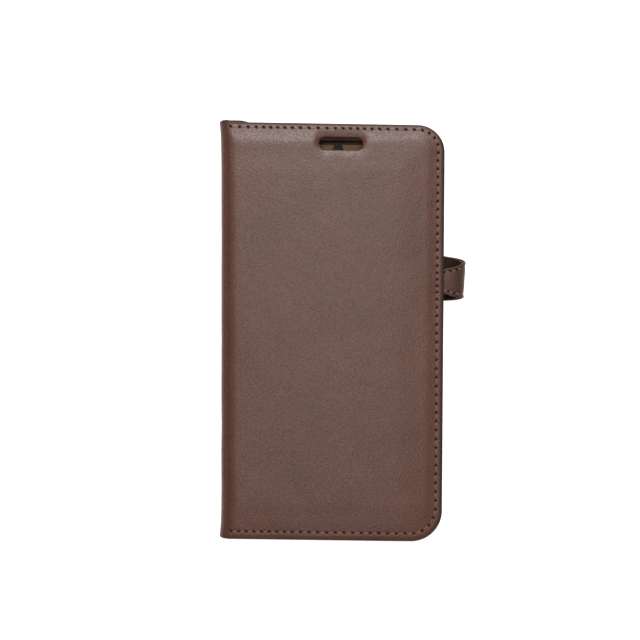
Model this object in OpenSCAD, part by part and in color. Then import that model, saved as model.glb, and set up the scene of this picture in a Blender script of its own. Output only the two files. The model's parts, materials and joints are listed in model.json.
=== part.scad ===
// Book-type leather wallet case for a 154 mm tall phone, closed, lying on its back cover.
// +Z is up through the thickness, +Y runs to the earpiece end, +X to the opening edge.
// The origin is the centre of the back cover's resting face.

/* [Case] */
// Height of the covers, along Y
case_h = 166; // [165:1:172]
// Width of the closed case, from the spine to the opening edge
case_w = 88.6; // [88.6:0.2:92]
// Thickness of the closed case
case_t = 19.5; // [19.5:0.5:22]
// Radius of the covers' corners at the earpiece end
top_corner_r = 10.8; // [10:0.2:12]
// Radius of the covers' corners at the charging end
bottom_corner_r = 12.4; // [11:0.2:13]
// Outer radius of the two folds between the covers and the spine
fold_r = 4; // [3.5:0.25:4.5]

/* [Cover layers] */
// Thickness of the leather over the board
leather_t = 1.2; // [1:0.1:1.4]
// Thickness of the turned leather edge, and of the spine
edge_t = 2; // [1.8:0.1:2.2]
// Thickness of the lining
lining_t = 0.6; // [0.4:0.1:0.6]
// Width of the pressed border that carries the seam
border_w = 4; // [3.6:0.2:4.4]
// Depth of the pressed border below the padded face
border_drop = 0.3; // [0.28:0.01:0.4]

/* [Earpiece slot] */
// Length of the slot
slot_l = 16.8; // [12:0.2:18]
// Height of the slot
slot_h = 5.4; // [5:0.2:6]
// Distance from the covers' top edge to the slot's middle
slot_drop = 8.5; // [8:0.1:9]

/* [Phone tray] */
// Width of the phone's room
phone_w = 77.4; // [74:0.2:77.4]
// Height of the phone's room
phone_h = 154; // [152:0.2:158.4]
// Offset of the tray's middle from the case's middle, along X
tray_x = 3.8; // [3.4:0.1:4]
// Thickness of the tray's walls
tray_wall = 1.3; // [1.1:0.1:1.3]
// Depth of the room below the lip
room_d = 8.8; // [8:0.1:8.8]

/* [Strap] */
// Height of the strap's middle where it leaves the back cover
strap_y_root = 21.6; // [18:0.2:24]
// Height of the strap's middle at its tip
strap_y_tip = 19.6; // [17:0.2:22]
// Half width of the strap at the back cover
strap_half_root = 8.9; // [8:0.1:9.5]
// Half width of the strap at its outer bend
strap_half_bend = 7; // [6.5:0.1:7.5]
// Half width of the strap's tongue
strap_half_tip = 4.8; // [4.5:0.1:5.2]
// Thickness of the strap, both leathers together
strap_t = 1.8; // [1.6:0.1:1.8]

/* [Stitching] */
// Distance between stitches in the covers' seams
pitch = 3.3; // [3:0.1:3.6]
// Distance from the covers' edge to the seam
seam_inset = 2.7; // [2.5:0.1:3]

/* [Hidden] */
$fn = 96;
eps = 0.01;
gap = 0.1;                                // clearance round inlaid pieces
wedge_gap = 1.5;                          // degrees cut from each half of a fold
right_x = case_w / 2;
top_y = case_h / 2;
fold_x = fold_r - right_x;                // where the covers' flat part begins
board_t = edge_t - leather_t;
board_inset = 3.4;
board_left = fold_x + 2.5;
lining_inset = 0.6;
inner_z = edge_t + lining_t;              // inside face of a cover, from its outer face
slot_y = top_y - slot_drop;

adhesive_t = 0.2;
tray_floor = 1.2;
pad_t = 0.4;
label_t = 0.2;
lip_t = 0.6;
lip_w = 0.8;
room_r = 9;
tray_z = inner_z + adhesive_t;
room_z = tray_z + tray_floor;             // floor of the phone's room
room_top = room_z + room_d;
notch_z = room_z + 2;                     // sill of the notches in the tray's walls
camera_w = 18;                            // window for the phone's camera, in the back cover
camera_h = 36;
camera_r = 6;
camera_x = tray_x + phone_w / 2 - 14.5;
camera_y = phone_h / 2 - 24.5;
label_l = 7;
label_foot_w = 7.2;
label_head_w = 2.6;
label_x = tray_x - 1.2;
label_y = phone_h / 2 - 0.7 - label_l;    // foot of the label

note_left = fold_x + 5.3;                 // open side of the note pocket
note_top = 66;
note_t = 0.8;
card_left = -27;
card_w = 59;
card_t = 0.7;
card_rim = 2;
card_step = 16;                           // distance between the pockets' mouths
card_mouth = 44;                          // mouth of the top pocket
card_strip = 24;                          // height of a pocket's strip of leather
card_foot = -76;                          // foot of the lowest pocket
cards_z = inner_z + note_t;

skin_t = strap_t / 2;                     // thickness of each of the strap's leathers
strap_z = 1.5;                            // middle of the strap where it leaves the back cover
arm_x = right_x + 0.2;                    // where the strap's arm begins
arm_r = 8.6;                              // middle radius of the arm's bend
tip_r = 4.5;                              // middle radius of the tip's bend
bend_z = strap_z + arm_r;                 // height of the outer bend
bend_x = arm_x + arm_r;
tip_x = bend_x - tip_r;                   // centre of the tip's bend
tongue_z = bend_z + tip_r;                // middle of the tongue
tongue_end = 32.6;
magnet_r = 3;
magnet_t = 0.9;
keeper_r = 3.6;
keeper_x = 36.6;
root_left = 34;
anchor_x = 36.5;                          // seam that anchors the strap's root
groove_w = 1.2;

stitch_l = 2.5;
stitch_w = 0.55;
stitch_t = 0.25;
strap_seam_inset = 1.4;

brown = [0.38, 0.27, 0.24];
dark_brown = [0.24, 0.15, 0.12];
tan = [0.72, 0.52, 0.36];
thread = [0.33, 0.22, 0.18];

// ---------- shared shapes ----------

// A cover's outline seen from the front: square at the spine, round at the opening edge.
module plan(inset = 0, left = fold_x) {
    rt = top_corner_r - inset;
    rb = bottom_corner_r - inset;
    xr = right_x - inset;
    yt = top_y - inset;
    translate([left, 0]) square([xr - rt - left, yt]);
    translate([left, 0]) square([xr - left, yt - rt]);
    translate([xr - rt, yt - rt]) circle(r = rt);
    translate([left, rb - yt]) square([xr - left, yt - rb]);
    translate([left, -yt]) square([xr - rb - left, yt]);
    translate([xr - rb, rb - yt]) circle(r = rb);
}

module rounded(w, h, r) {
    square([w - 2 * r, h], center = true);
    square([w, h - 2 * r], center = true);
    for (sx = [-1, 1], sy = [-1, 1]) translate([sx * (w / 2 - r), sy * (h / 2 - r)]) circle(r = r);
}

module stadium(l, h) {
    square([l - h, h], center = true);
    for (s = [-1, 1]) translate([s * (l - h) / 2, 0]) circle(d = h);
}

// A ring's sector in the XZ plane, drawn in 2D.
module sector(r_out, r_in, from, to) {
    reach = 2 * r_out;
    mid = (from + to) / 2;
    intersection() {
        difference() {
            circle(r = r_out);
            circle(r = r_in);
        }
        polygon([[0, 0], for (a = [from, mid, to]) reach * [cos(a), sin(a)]]);
    }
}

// Extrudes an XZ section along Y, centred on the XZ plane.
module along_y(length) rotate([90, 0, 0]) linear_extrude(length, center = true) children();

// Puts a shape drawn as part of the back cover into the front cover.
module to_front() translate([0, 0, case_t]) mirror([0, 0, 1]) children();

module slot(grow = 0) translate([tray_x, slot_y]) stadium(slot_l + 2 * grow, slot_h + 2 * grow);

module camera(grow = 0) {
    translate([camera_x, camera_y])
        rounded(camera_w + 2 * grow, camera_h + 2 * grow, camera_r + grow);
}

// ---------- cover layers, drawn with the outer face at z = 0 ----------

module cover_leather() {
    difference() {
        union() {
            linear_extrude(edge_t) plan();
            along_y(case_h) translate([fold_x, fold_r])
                sector(fold_r, fold_r - edge_t, 225 + wedge_gap, 270.2);
        }
        translate([0, 0, -1]) linear_extrude(1 + border_drop) difference() {
            plan(-1);
            plan(border_w, fold_x - 1);
        }
        translate([0, 0, leather_t]) linear_extrude(edge_t) plan(board_inset, board_left);
    }
}

module cover_board() {
    translate([0, 0, leather_t]) linear_extrude(board_t) plan(board_inset + gap, board_left + gap);
}

module cover_lining() {
    translate([0, 0, edge_t]) linear_extrude(lining_t) plan(lining_inset);
    along_y(case_h - 2 * lining_inset) translate([fold_x, fold_r])
        sector(fold_r - edge_t, fold_r - inner_z, 225 + 2 * wedge_gap, 270.4);
}

// ---------- stitching ----------

// One stitch along X, its foot at z = 0 and its top towards +Z.
module stitch(length = stitch_l) {
    rotate([90, 0, 90]) linear_extrude(length, center = true)
        polygon([
            [-stitch_w / 2, 0], [stitch_w / 2, 0],
            [stitch_w / 4, stitch_t], [-stitch_w / 4, stitch_t]
        ]);
}

// The covers' seam: a point and a heading at distance s, from the spine along the top edge,
// down the opening edge and back along the bottom edge.
seam_x = right_x - seam_inset;
seam_y = top_y - seam_inset;
seam_rt = top_corner_r - seam_inset;
seam_rb = bottom_corner_r - seam_inset;
run_top = seam_x - seam_rt - fold_x;
run_arc_t = PI / 2 * seam_rt;
run_side = 2 * seam_y - seam_rt - seam_rb;
run_arc_b = PI / 2 * seam_rb;
run_bottom = seam_x - seam_rb - fold_x;
seam_length = run_top + run_arc_t + run_side + run_arc_b + run_bottom;

function on_arc(cx, cy, r, a) = [cx + r * cos(a), cy + r * sin(a), a - 90];
function seam(s) =
    s < run_top ? [fold_x + s, seam_y, 0] :
    s < run_top + run_arc_t ?
        on_arc(seam_x - seam_rt, seam_y - seam_rt, seam_rt, 90 - (s - run_top) / seam_rt * 180 / PI) :
    s < run_top + run_arc_t + run_side ?
        [seam_x, seam_y - seam_rt - (s - run_top - run_arc_t), -90] :
    s < seam_length - run_bottom ?
        on_arc(seam_x - seam_rb, seam_rb - seam_y, seam_rb,
            -(s - run_top - run_arc_t - run_side) / seam_rb * 180 / PI) :
    [seam_x - seam_rb - (s - seam_length + run_bottom), -seam_y, 180];

module cover_seam(z) {
    count = floor(seam_length / pitch);
    step = seam_length / count;
    for (i = [0 : count - 1]) {
        p = seam((i + 0.5) * step);
        translate([p[0], p[1], z]) rotate([0, 0, p[2]]) stitch();
    }
}

module straight_seam(from, to, z) {
    run = to - from;
    count = round(norm(run) / pitch);
    for (i = [0 : count - 1]) {
        p = from + run * (i + 0.5) / count;
        translate([p[0], p[1], z]) rotate([0, 0, atan2(run[1], run[0])]) stitch();
    }
}

// ---------- back cover ----------

module back_leather() color(brown) difference() {
    cover_leather();
    translate([0, 0, -1]) linear_extrude(inner_z + 2) camera();
    translate([0, 0, strap_z - 0.5]) linear_extrude(edge_t) root_plan(gap);
    translate([anchor_x, strap_y_root, 0])
        cube([groove_w, 2 * strap_half_root - 2, 2 * border_drop], center = true);
}

module back_board() color("burlywood") difference() {
    cover_board();
    linear_extrude(inner_z) camera(1.5);
    linear_extrude(inner_z) root_plan(2 * gap);
}

module back_lining() color(dark_brown) difference() {
    cover_lining();
    linear_extrude(inner_z + 1) camera();
}

module back_stitching() color(thread) translate([0, 0, border_drop]) mirror([0, 0, 1]) cover_seam(0);

// ---------- phone tray ----------

module tray_adhesive() color("gainsboro") {
    translate([0, 0, inner_z]) linear_extrude(adhesive_t) difference() {
        translate([tray_x, 0]) rounded(phone_w - 4, phone_h - 4, room_r);
        camera(2);
    }
}

module wall_notch(x, y, sx, sy) {
    translate([x - sx / 2, y - sy / 2, notch_z]) cube([sx, sy, room_d + 5]);
}

module phone_tray() color([0.16, 0.11, 0.09]) difference() {
    translate([tray_x, 0, tray_z]) linear_extrude(tray_floor + room_d + lip_t)
        rounded(phone_w + 2 * tray_wall, phone_h + 2 * tray_wall, room_r + tray_wall);
    translate([tray_x, 0, room_z]) linear_extrude(room_d) rounded(phone_w, phone_h, room_r);
    translate([tray_x, 0, room_top - eps]) linear_extrude(lip_t + 1)
        rounded(phone_w - 2 * lip_w, phone_h - 2 * lip_w, room_r - lip_w);
    translate([0, 0, tray_z - 1]) linear_extrude(tray_floor + 2) camera();
    wall_notch(tray_x, -phone_h / 2, 52, 8);
    wall_notch(tray_x - phone_w / 2, 42, 8, 42);
    wall_notch(tray_x + phone_w / 2, 44, 8, 20);
}

module tray_pad() color(tan) {
    translate([0, 0, room_z]) linear_extrude(pad_t) difference() {
        translate([tray_x, 0]) rounded(phone_w - 1, phone_h - 1, room_r - 0.5);
        camera(1);
    }
}

module blank_label() color([0.15, 0.13, 0.12]) {
    translate([label_x, label_y, room_z + pad_t]) linear_extrude(label_t) polygon([
        [-label_foot_w / 2, 0], [label_foot_w / 2, 0],
        [label_head_w / 2, label_l], [-label_head_w / 2, label_l]
    ]);
}

// ---------- spine ----------

module spine_section(r_out, r_in, cut) {
    translate([fold_x, fold_r]) sector(r_out, r_in, 179.8, 225 - cut);
    translate([fold_x, case_t - fold_r]) sector(r_out, r_in, 135 + cut, 180.2);
    translate([fold_x - r_out, fold_r]) square([r_out - r_in, case_t - 2 * fold_r]);
}

module spine_leather() color(brown) along_y(case_h) spine_section(fold_r, fold_r - edge_t, wedge_gap);

module spine_lining() color(dark_brown)
    along_y(case_h - 2 * lining_inset)
        spine_section(fold_r - edge_t, fold_r - inner_z, 2 * wedge_gap);

// ---------- front cover ----------

module front_leather() color(brown) to_front() difference() {
    cover_leather();
    translate([0, 0, -1]) linear_extrude(inner_z + 2) slot();
}

module front_board() color("burlywood") to_front() difference() {
    cover_board();
    linear_extrude(inner_z) slot(1.5);
    translate([keeper_x, strap_y_tip, 0]) cylinder(r = keeper_r + gap, h = inner_z);
}

module closing_magnet() color("silver") to_front()
    translate([keeper_x, strap_y_tip, leather_t]) cylinder(r = keeper_r, h = board_t);

module front_lining() color(dark_brown) to_front() difference() {
    cover_lining();
    linear_extrude(inner_z + 1) slot();
}

module front_stitching() color(thread) translate([0, 0, case_t - border_drop]) cover_seam(0);

module note_pocket() color(brown) to_front() {
    translate([0, 0, inner_z]) linear_extrude(note_t) intersection() {
        plan(lining_inset, note_left);
        translate([note_left, -top_y]) square([case_w, note_top + top_y]);
    }
}

// One pocket's strip: a sheet at its own level, with a rim down to the note pocket
// along the sides where no strip lies under it.
module card_strip(level, top, foot, rim_top) {
    z = cards_z + level * card_t;
    translate([card_left, foot, z]) cube([card_w, top - foot, card_t]);
    if (level > 0) translate([0, foot, cards_z]) {
        for (x = [card_left, card_left + card_w - card_rim])
            translate([x, 0, 0]) cube([card_rim, rim_top - foot, level * card_t + eps]);
    }
}

module card_pocket_top() color(brown) to_front()
    card_strip(0, card_mouth, card_mouth - card_strip, 0);

module card_pocket_middle() color(brown) to_front() {
    foot = card_mouth - card_step - card_strip;
    card_strip(1, card_mouth - card_step, foot, card_mouth - card_strip - gap);
}

module card_pocket_bottom() color(brown) to_front() {
    card_strip(2, card_mouth - 2 * card_step, card_foot, card_mouth - card_step - card_strip - gap);
    translate([card_left, card_foot, cards_z]) cube([card_w, card_rim, 2 * card_t + eps]);
}

module pocket_backing() color("dimgray") to_front() {
    left = card_left + card_rim + gap;
    width = card_w - 2 * (card_rim + gap);
    for (level = [0, 1]) {
        foot = card_foot + 4;
        top = card_mouth - card_strip - level * card_step - gap;
        translate([left, foot, cards_z + level * card_t + gap]) cube([width, top - foot, 0.2]);
    }
}

// The seams of the card pockets: down both sides of each strip, and along its foot.
module pocket_stitching() color(thread) to_front() {
    side = 1;
    for (level = [0 : 2]) {
        top = card_mouth - level * card_step;
        foot = level == 2 ? card_foot : top - card_step;
        for (x = [card_left + side, card_left + card_w - side])
            straight_seam([x, top - 1], [x, foot + 1], cards_z + (level + 1) * card_t);
    }
    straight_seam([card_left + 2, card_foot + side], [card_left + card_w - 2, card_foot + side],
        cards_z + 3 * card_t);
}

// The covers' seam on the inside: on the note pocket where it lies, else on the lining.
module front_inner_stitching() color(thread) to_front() {
    count = floor(seam_length / pitch);
    step = seam_length / count;
    for (i = [0 : count - 1]) {
        p = seam((i + 0.5) * step);
        on_pocket = p[0] > note_left + stitch_l && p[1] < note_top - stitch_l;
        off_pocket = p[0] < note_left - stitch_l || p[1] > note_top + stitch_l;
        if (on_pocket || off_pocket)
            translate([p[0], p[1], on_pocket ? cards_z : inner_z]) rotate([0, 0, p[2]]) stitch();
    }
}

// ---------- strap ----------

module root_plan(grow = 0) {
    translate([root_left - grow, strap_y_root - strap_half_root - grow])
        square([right_x - root_left + 2 * grow, 2 * (strap_half_root + grow)]);
}

module strap_root() color(brown) {
    translate([0, 0, strap_z - 0.5]) linear_extrude(1) root_plan();
}

module strap_anchor_stitching() color(thread) {
    reach = strap_half_root - 1.5;
    translate([0, 0, border_drop]) mirror([0, 0, 1])
        straight_seam([anchor_x, strap_y_root - reach], [anchor_x, strap_y_root + reach], 0);
}

// The strap's outline seen from the opening edge, tapering from its root to its tongue.
function strap_mid(z) = strap_y_root
    + (strap_y_tip - strap_y_root) * max(0, min(1, (z - strap_z) / (tongue_z - strap_z)));
module strap_outline() {
    y_bend = strap_mid(bend_z);
    levels = [
        [-1, strap_y_root, strap_half_root], [strap_z, strap_y_root, strap_half_root],
        [bend_z, y_bend, strap_half_bend],
        [tongue_z, strap_y_tip, strap_half_tip], [case_t, strap_y_tip, strap_half_tip]
    ];
    polygon([
        for (l = levels) [l[1] + l[2], l[0]],
        for (i = [4 : -1 : 0]) [levels[i][1] - levels[i][2], levels[i][0]]
    ]);
}

// Cuts an XZ section of the strap to the strap's tapering outline.
module strap_cut() {
    intersection() {
        translate([0, strap_y_root, 0]) along_y(4 * strap_half_root) children();
        rotate([90, 0, 90]) linear_extrude(2 * case_w) strap_outline();
    }
}

module arm_section(out, in) {
    translate([arm_x, bend_z]) sector(arm_r + out, arm_r - in, 270, 359.9);
}

module tip_section(out, in) {
    translate([tip_x, bend_z]) sector(tip_r + out, tip_r - in, 0.6, 90.1);
}

// The strap's tongue, from its bend to its round end, between two heights.
module tongue(low, high) {
    translate([0, 0, low]) linear_extrude(high - low) {
        translate([tongue_end + strap_half_tip, strap_y_tip - strap_half_tip])
            square([tip_x - tongue_end - strap_half_tip, 2 * strap_half_tip]);
        translate([tongue_end + strap_half_tip, strap_y_tip]) circle(r = strap_half_tip);
    }
}

module magnet_seat(grow = 0) {
    translate([tongue_end + strap_half_tip, strap_y_tip, tongue_z])
        cylinder(r = magnet_r + grow, h = magnet_t + 2 * grow, center = true);
}

module strap_arm_leather() color(brown) strap_cut() arm_section(skin_t, 0);
module strap_arm_lining() color(dark_brown) strap_cut() arm_section(-gap / 10, skin_t);

module strap_tip_leather() color(brown) difference() {
    union() {
        strap_cut() tip_section(skin_t, 0);
        tongue(tongue_z, tongue_z + skin_t);
    }
    magnet_seat(gap / 4);
}

module strap_tip_lining() color(dark_brown) difference() {
    union() {
        strap_cut() tip_section(-gap / 10, skin_t);
        tongue(tongue_z - skin_t, tongue_z - gap / 10);
    }
    magnet_seat(gap / 4);
}

module strap_magnet() color("silver") magnet_seat();

// A stitch on the outside of a bend round (x, z), at an angle from +X.
module bend_stitch(x, r, a, y, length) {
    translate([x + r * cos(a), y, bend_z + r * sin(a)]) rotate([0, 90 - a, 0]) stitch(length);
}

// Half the strap's width at a height on its bends.
function strap_half(z) = z < bend_z ?
    strap_half_root + (strap_half_bend - strap_half_root) * (z - strap_z) / (bend_z - strap_z) :
    strap_half_bend + (strap_half_tip - strap_half_bend) * (z - bend_z) / (tongue_z - bend_z);

module bend_seam(x, r, angles) {
    for (a = angles, side = [-1, 1]) {
        z = bend_z + (r - skin_t) * sin(a);
        y = strap_mid(z) + side * (strap_half(z) - strap_seam_inset);
        bend_stitch(x, r, a, y, 1.9);
    }
}

module strap_arm_stitching() color(thread) bend_seam(arm_x, arm_r + skin_t + 0.02, [-78, -58, -38, -18]);

module strap_tip_stitching() color(thread) {
    bend_seam(tip_x, tip_r + skin_t + 0.04, [22, 55]);
    reach = strap_half_tip - strap_seam_inset;
    for (side = [-1, 1])
        straight_seam([tip_x + 0.5, strap_y_tip + side * reach],
            [tongue_end + strap_half_tip, strap_y_tip + side * reach], tongue_z + skin_t);
    for (a = [120, 180, 240])
        translate([tongue_end + strap_half_tip + reach * cos(a), strap_y_tip + reach * sin(a),
            tongue_z + skin_t]) rotate([0, 0, a + 90]) stitch(1.9);
}

// ---------- nodes ----------

back_leather();
back_board();
back_lining();
back_stitching();
tray_adhesive();
phone_tray();
tray_pad();
blank_label();
strap_root();
strap_anchor_stitching();
spine_leather();
spine_lining();
front_leather();
front_board();
front_lining();
front_stitching();
front_inner_stitching();
closing_magnet();
note_pocket();
card_pocket_top();
card_pocket_middle();
card_pocket_bottom();
pocket_backing();
pocket_stitching();
strap_arm_leather();
strap_arm_lining();
strap_arm_stitching();
strap_tip_leather();
strap_tip_lining();
strap_tip_stitching();
strap_magnet();
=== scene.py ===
"""Phone wallet case: leather skins, linings, pockets, tray, strap and seams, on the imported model."""
import json
import math

import bmesh
import bpy
import numpy as np
from mathutils import Vector
from mathutils.kdtree import KDTree
from mathutils.geometry import delaunay_2d_cdt
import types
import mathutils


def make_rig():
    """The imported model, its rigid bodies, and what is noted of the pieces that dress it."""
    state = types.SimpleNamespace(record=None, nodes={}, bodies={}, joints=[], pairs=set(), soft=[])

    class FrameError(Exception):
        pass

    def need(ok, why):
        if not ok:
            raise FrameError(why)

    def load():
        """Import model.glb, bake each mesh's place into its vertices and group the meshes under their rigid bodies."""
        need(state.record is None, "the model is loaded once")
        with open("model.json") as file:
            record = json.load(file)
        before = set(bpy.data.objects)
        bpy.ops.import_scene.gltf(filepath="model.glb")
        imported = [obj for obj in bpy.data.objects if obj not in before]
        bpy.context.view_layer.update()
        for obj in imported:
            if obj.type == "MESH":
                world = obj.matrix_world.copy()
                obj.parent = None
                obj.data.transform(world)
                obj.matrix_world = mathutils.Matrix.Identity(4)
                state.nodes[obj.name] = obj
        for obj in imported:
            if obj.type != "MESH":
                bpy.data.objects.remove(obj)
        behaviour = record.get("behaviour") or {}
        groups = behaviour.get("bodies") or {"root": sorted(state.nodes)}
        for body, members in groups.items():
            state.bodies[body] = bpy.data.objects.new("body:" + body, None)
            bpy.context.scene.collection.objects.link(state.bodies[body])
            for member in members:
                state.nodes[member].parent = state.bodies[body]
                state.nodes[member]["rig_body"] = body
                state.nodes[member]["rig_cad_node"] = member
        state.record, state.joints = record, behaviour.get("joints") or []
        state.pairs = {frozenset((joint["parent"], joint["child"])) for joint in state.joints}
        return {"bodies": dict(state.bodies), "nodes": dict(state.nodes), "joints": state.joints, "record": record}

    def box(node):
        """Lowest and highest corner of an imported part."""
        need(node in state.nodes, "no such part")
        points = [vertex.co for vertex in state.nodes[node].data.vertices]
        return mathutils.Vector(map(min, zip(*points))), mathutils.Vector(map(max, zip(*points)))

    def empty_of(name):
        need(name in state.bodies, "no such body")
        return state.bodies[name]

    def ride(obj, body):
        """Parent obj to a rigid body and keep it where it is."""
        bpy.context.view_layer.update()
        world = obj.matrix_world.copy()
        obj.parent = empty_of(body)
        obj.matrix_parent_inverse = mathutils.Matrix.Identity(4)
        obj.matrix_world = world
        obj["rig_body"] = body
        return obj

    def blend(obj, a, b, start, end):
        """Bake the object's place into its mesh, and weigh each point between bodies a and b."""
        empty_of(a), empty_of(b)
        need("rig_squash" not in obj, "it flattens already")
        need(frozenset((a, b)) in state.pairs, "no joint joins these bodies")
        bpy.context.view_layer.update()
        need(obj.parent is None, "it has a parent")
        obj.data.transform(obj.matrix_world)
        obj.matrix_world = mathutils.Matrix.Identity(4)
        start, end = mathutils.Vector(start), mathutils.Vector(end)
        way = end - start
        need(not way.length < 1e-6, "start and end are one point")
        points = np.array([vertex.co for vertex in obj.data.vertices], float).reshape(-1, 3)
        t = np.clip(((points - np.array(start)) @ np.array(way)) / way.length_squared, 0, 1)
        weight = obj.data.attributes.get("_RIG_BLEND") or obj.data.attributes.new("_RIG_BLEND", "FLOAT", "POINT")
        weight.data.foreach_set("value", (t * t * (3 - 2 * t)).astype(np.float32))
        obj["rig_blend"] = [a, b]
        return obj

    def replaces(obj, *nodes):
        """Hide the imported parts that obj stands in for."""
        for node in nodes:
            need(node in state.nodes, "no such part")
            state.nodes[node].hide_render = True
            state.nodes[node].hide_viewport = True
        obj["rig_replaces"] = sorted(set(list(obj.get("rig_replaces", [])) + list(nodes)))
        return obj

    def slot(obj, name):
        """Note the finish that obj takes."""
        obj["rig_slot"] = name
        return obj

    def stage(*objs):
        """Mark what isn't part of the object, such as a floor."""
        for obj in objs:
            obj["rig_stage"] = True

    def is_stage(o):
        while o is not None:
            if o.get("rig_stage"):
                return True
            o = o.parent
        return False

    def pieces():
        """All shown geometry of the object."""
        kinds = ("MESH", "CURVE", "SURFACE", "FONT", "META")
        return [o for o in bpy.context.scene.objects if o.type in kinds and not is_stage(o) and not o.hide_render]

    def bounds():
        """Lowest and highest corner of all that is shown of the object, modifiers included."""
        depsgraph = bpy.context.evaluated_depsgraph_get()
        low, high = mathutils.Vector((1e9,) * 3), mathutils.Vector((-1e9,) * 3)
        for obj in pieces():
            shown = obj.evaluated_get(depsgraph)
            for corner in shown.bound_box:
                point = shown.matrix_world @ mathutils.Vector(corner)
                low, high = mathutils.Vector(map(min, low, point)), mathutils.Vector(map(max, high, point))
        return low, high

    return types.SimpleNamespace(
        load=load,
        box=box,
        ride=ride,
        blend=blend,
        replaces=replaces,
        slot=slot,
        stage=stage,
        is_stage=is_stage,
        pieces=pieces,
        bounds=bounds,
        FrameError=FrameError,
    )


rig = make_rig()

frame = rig.load()
cad_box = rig.bounds()

MM = 0.001  # every length below is in millimetres, and turns into metres where a mesh is made


def node_box(node):
    low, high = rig.box(node)
    return np.array(low) / MM, np.array(high) / MM


def area_of(low, high):
    """A box's limits in x and y."""
    return low[0], high[0], low[1], high[1]


def joint_at(name):
    joint = next(j for j in frame["joints"] if j["name"] == name)
    return np.array(joint["pos_m"]) / MM


# ---------- dimensions ----------

_, (RIGHT, TOP, THICK) = node_box("front_leather")
SPINE_X = node_box("spine_leather")[0][0]
FOLD_R = 4 * (joint_at("spine_fold")[0] - SPINE_X)  # the fold's hinge is a quarter radius in
FOLD_X = SPINE_X + FOLD_R
EDGE_T = 2.0
LINING_T = 0.6
INNER = EDGE_T + LINING_T
TOP_R, BOTTOM_R = 10.8, 12.4  # the covers' corners
BORDER_DROP = 0.3
SEAM = 2.7  # the seam's distance from the covers' edge
PITCH = 3.5  # from one needle hole to the next
FOLD_RUN = math.pi / 2 * (FOLD_R - EDGE_T / 2)  # length of the fold along the leather's middle
SPINE_RUN = THICK / 2 - FOLD_R  # from the fold to the spine's middle
MID = FOLD_X - FOLD_RUN - SPINE_RUN  # developed position of the spine's middle
HANG_TOP, HANG_BOTTOM = 0.0165, 0.0135  # the front cover hangs low at its opening edge, and
LEAN = 0.0075  # leans out at the top


def opening(name):
    low, high = next(o["box_m"] for o in frame["record"]["physics"]["openings"] if o["name"] == name)
    return np.array(low) / MM, np.array(high) / MM


def rounded_box(x0, x1, y0, y1, r):
    return dict(x=(x0 + x1) / 2, y=(y0 + y1) / 2, w=x1 - x0, h=y1 - y0, r=r)


def grown(box, by, **more):
    return dict(box, w=box["w"] + 2 * by, h=box["h"] + 2 * by, r=box["r"] + by, **more)


# A hole's lip and depth are how far its rounded edge reaches across and down, and sink is how far
# the skin dips round it.
slot_middle = sum(opening("earpiece_slot")) / 2
camera_middle = sum(opening("camera_window")) / 2
SLOT = dict(x=slot_middle[0] - 0.55, y=TOP - 8.15, w=17.2, h=5.2, r=2.3, lip=0.3, depth=0.3, sink=0.85)
CAMERA_WINDOW = dict(x=camera_middle[0], y=camera_middle[1], w=18.0, h=36.0, r=6.0, lip=1.0, depth=0.8,
                     sink=0.1)


# ---------- numeric helpers ----------

def smooth(a, b, x):
    t = np.clip((x - a) / (b - a), 0, 1)
    return t * t * (3 - 2 * t)


def bump(x, centre, width):
    return np.exp(-((x - centre) / width) ** 2)


def ripple(u, y, size, seed, waves=7):
    """Gentle unevenness between about -1 and 1, with features of the given size."""
    rng = np.random.default_rng(seed)
    total = 0
    for _ in range(waves):
        angle, phase = rng.uniform(0, 2 * math.pi, 2)
        k = 2 * math.pi / size * rng.uniform(0.6, 1.6)
        total = total + np.sin(k * (u * math.cos(angle) + y * math.sin(angle)) + phase)
    return total / math.sqrt(waves) / 1.5


def edge_distance(u, y):
    """Distance inside the covers' outline; the spine side has no edge."""
    d = np.minimum(TOP - np.abs(y), RIGHT - u)
    for r, side in ((TOP_R, 1), (BOTTOM_R, -1)):
        x0, y0 = RIGHT - r, side * (TOP - r)
        corner = (u > x0) & (side * (y - y0) > 0)
        d = np.where(corner, r - np.hypot(u - x0, y - y0), d)
    return d


def hole_distance(hole, u, y):
    """Distance outside a round-cornered hole."""
    qx = np.abs(u - hole["x"]) - (hole["w"] / 2 - hole["r"])
    qy = np.abs(y - hole["y"]) - (hole["h"] / 2 - hole["r"])
    outside = np.hypot(np.maximum(qx, 0), np.maximum(qy, 0))
    return outside + np.minimum(np.maximum(qx, qy), 0) - hole["r"]


# ---------- outlines: points on an edge, and the direction inwards ----------

def line(a, b, inward, step):
    a, b = np.array(a, float), np.array(b, float)
    n = max(1, round(np.linalg.norm(b - a) / step))
    t = (np.arange(n) / n)[:, None]
    return a + (b - a) * t, np.tile(inward, (n, 1))


def arc(x, y, r, start, end, step):
    n = max(4, round(abs(math.radians(end - start)) * r / step))
    a = np.radians(start + (end - start) * np.arange(n) / n)
    out = np.stack([np.cos(a), np.sin(a)], 1)
    return np.array([x, y]) + r * out, -out


def join(*runs):
    return np.concatenate([r[0] for r in runs]), np.concatenate([r[1] for r in runs])


def cover_outline(left=MID, step=0.23):
    """Along the top edge, round the opening edge and back along the bottom, open at the left."""
    xt, xb = RIGHT - TOP_R, RIGHT - BOTTOM_R
    runs = join(
        line((left, TOP), (xt, TOP), (0, -1), step),
        arc(xt, TOP - TOP_R, TOP_R, 90, 0, step),
        line((RIGHT, TOP - TOP_R), (RIGHT, BOTTOM_R - TOP), (-1, 0), step),
        arc(xb, BOTTOM_R - TOP, BOTTOM_R, 0, -90, step),
        line((xb, -TOP), (left, -TOP), (0, 1), step),
    )
    return np.vstack([runs[0], [left, -TOP]]), np.vstack([runs[1], [0, 1]])


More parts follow.
